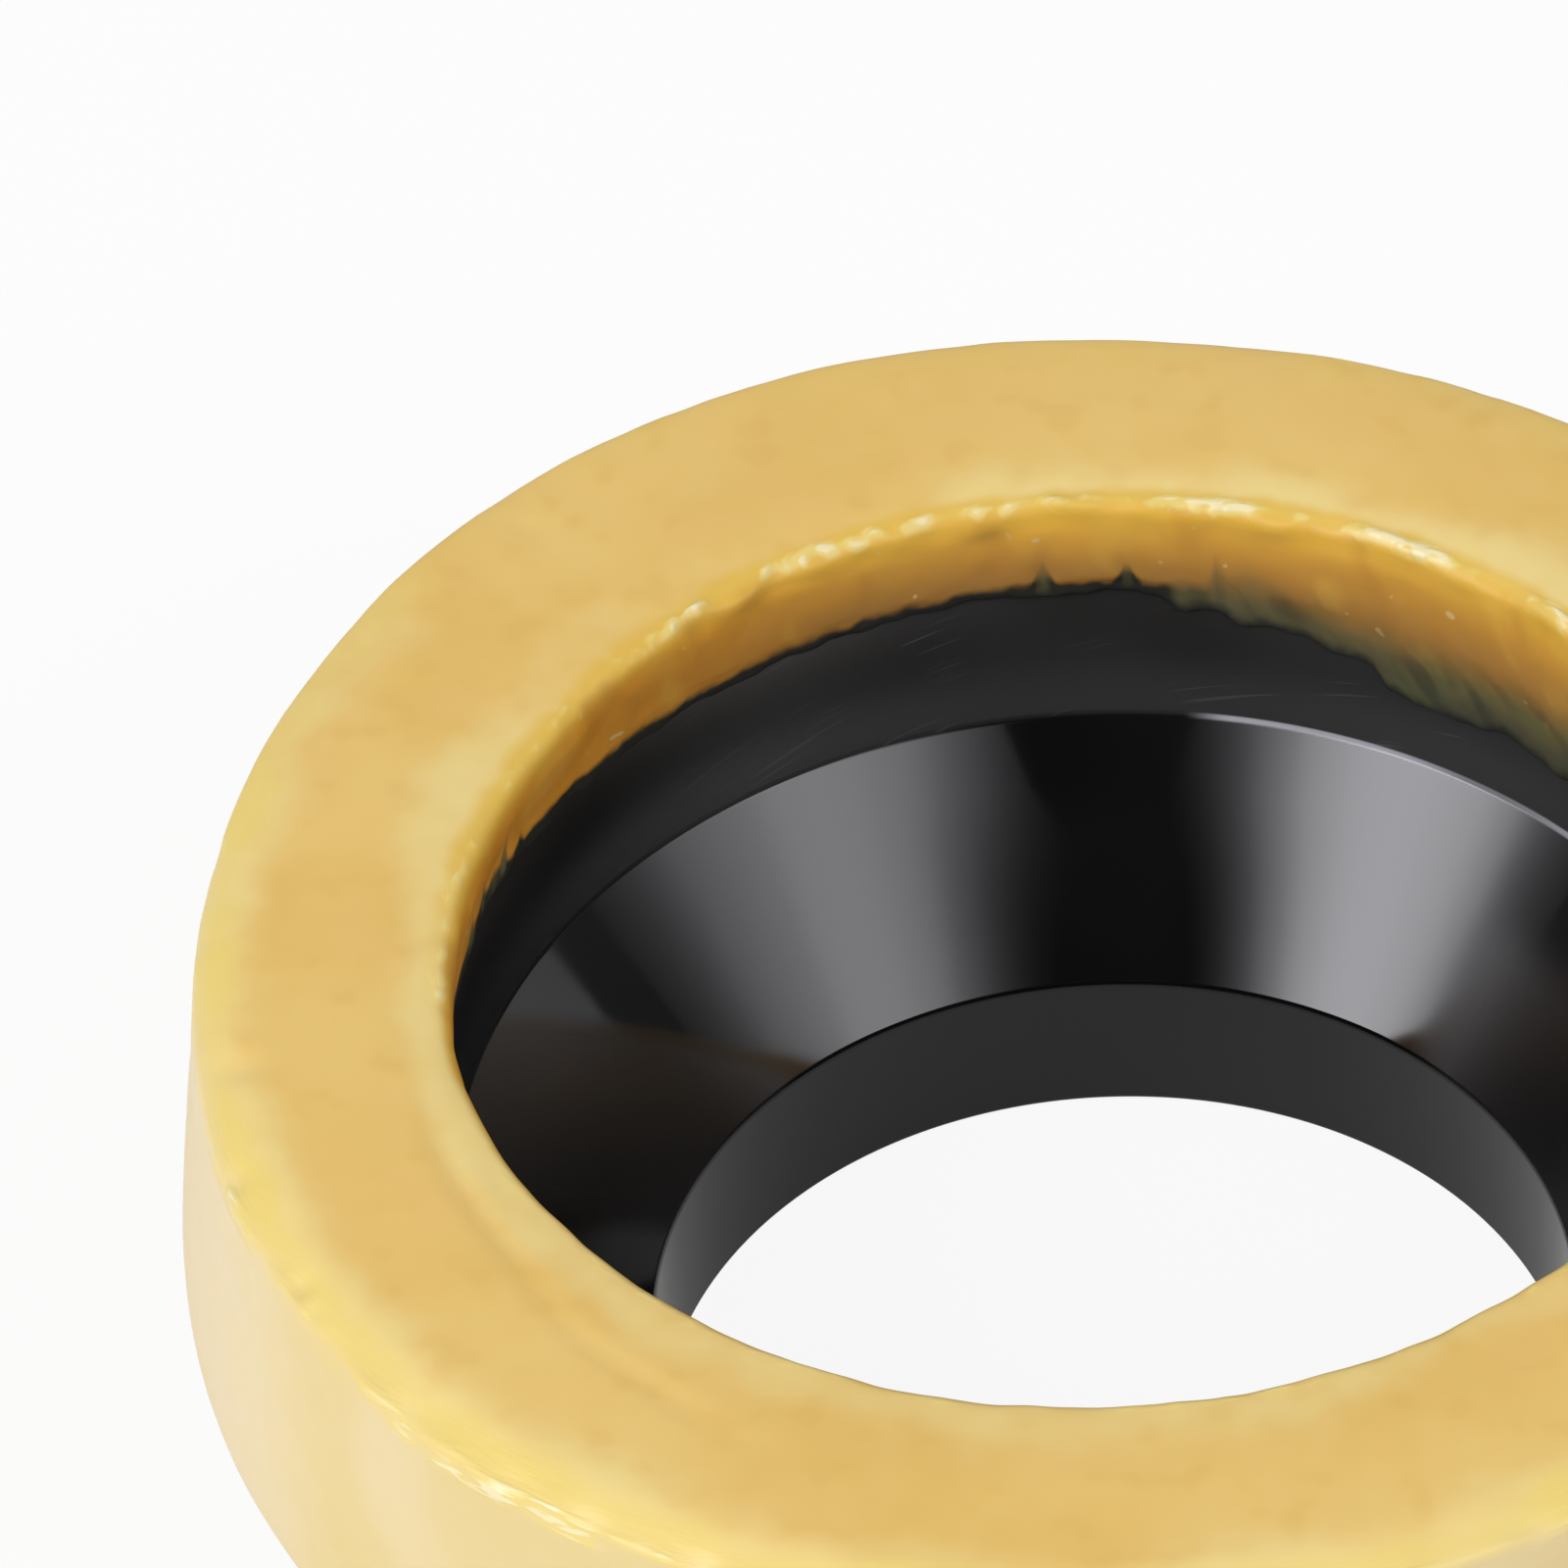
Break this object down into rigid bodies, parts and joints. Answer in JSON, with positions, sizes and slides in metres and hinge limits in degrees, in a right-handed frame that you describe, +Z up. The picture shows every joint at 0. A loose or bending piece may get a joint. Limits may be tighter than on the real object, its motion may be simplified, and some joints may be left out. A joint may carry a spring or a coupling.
{
  "type": "toilet pan seal",
  "caption": "Wax toilet pan seal: a soft wax ring cast round a black plastic horn that guides the pan's outlet into the waste pipe.",
  "frame": {"origin": "on the seal's axis, at the horn's lower rim, which is the surface that the part stands on", "axes": "+Z up along the seal's axis from the horn's rim to the wax face that meets the pan; X and Y are level, with -Y towards the picture's camera"},
  "size_m": [0.1389, 0.1399, 0.0506],
  "materials": {
    "wax": "soft amber petroleum wax, satin and slightly see-through at thin edges",
    "plastic": "black moulded polyethylene, glossy on the cone, satin on the collar and the neck"
  },
  "bodies": {
    "root": {"wax_ring": "wax", "horn": "plastic"}
  },
  "joints": []
}
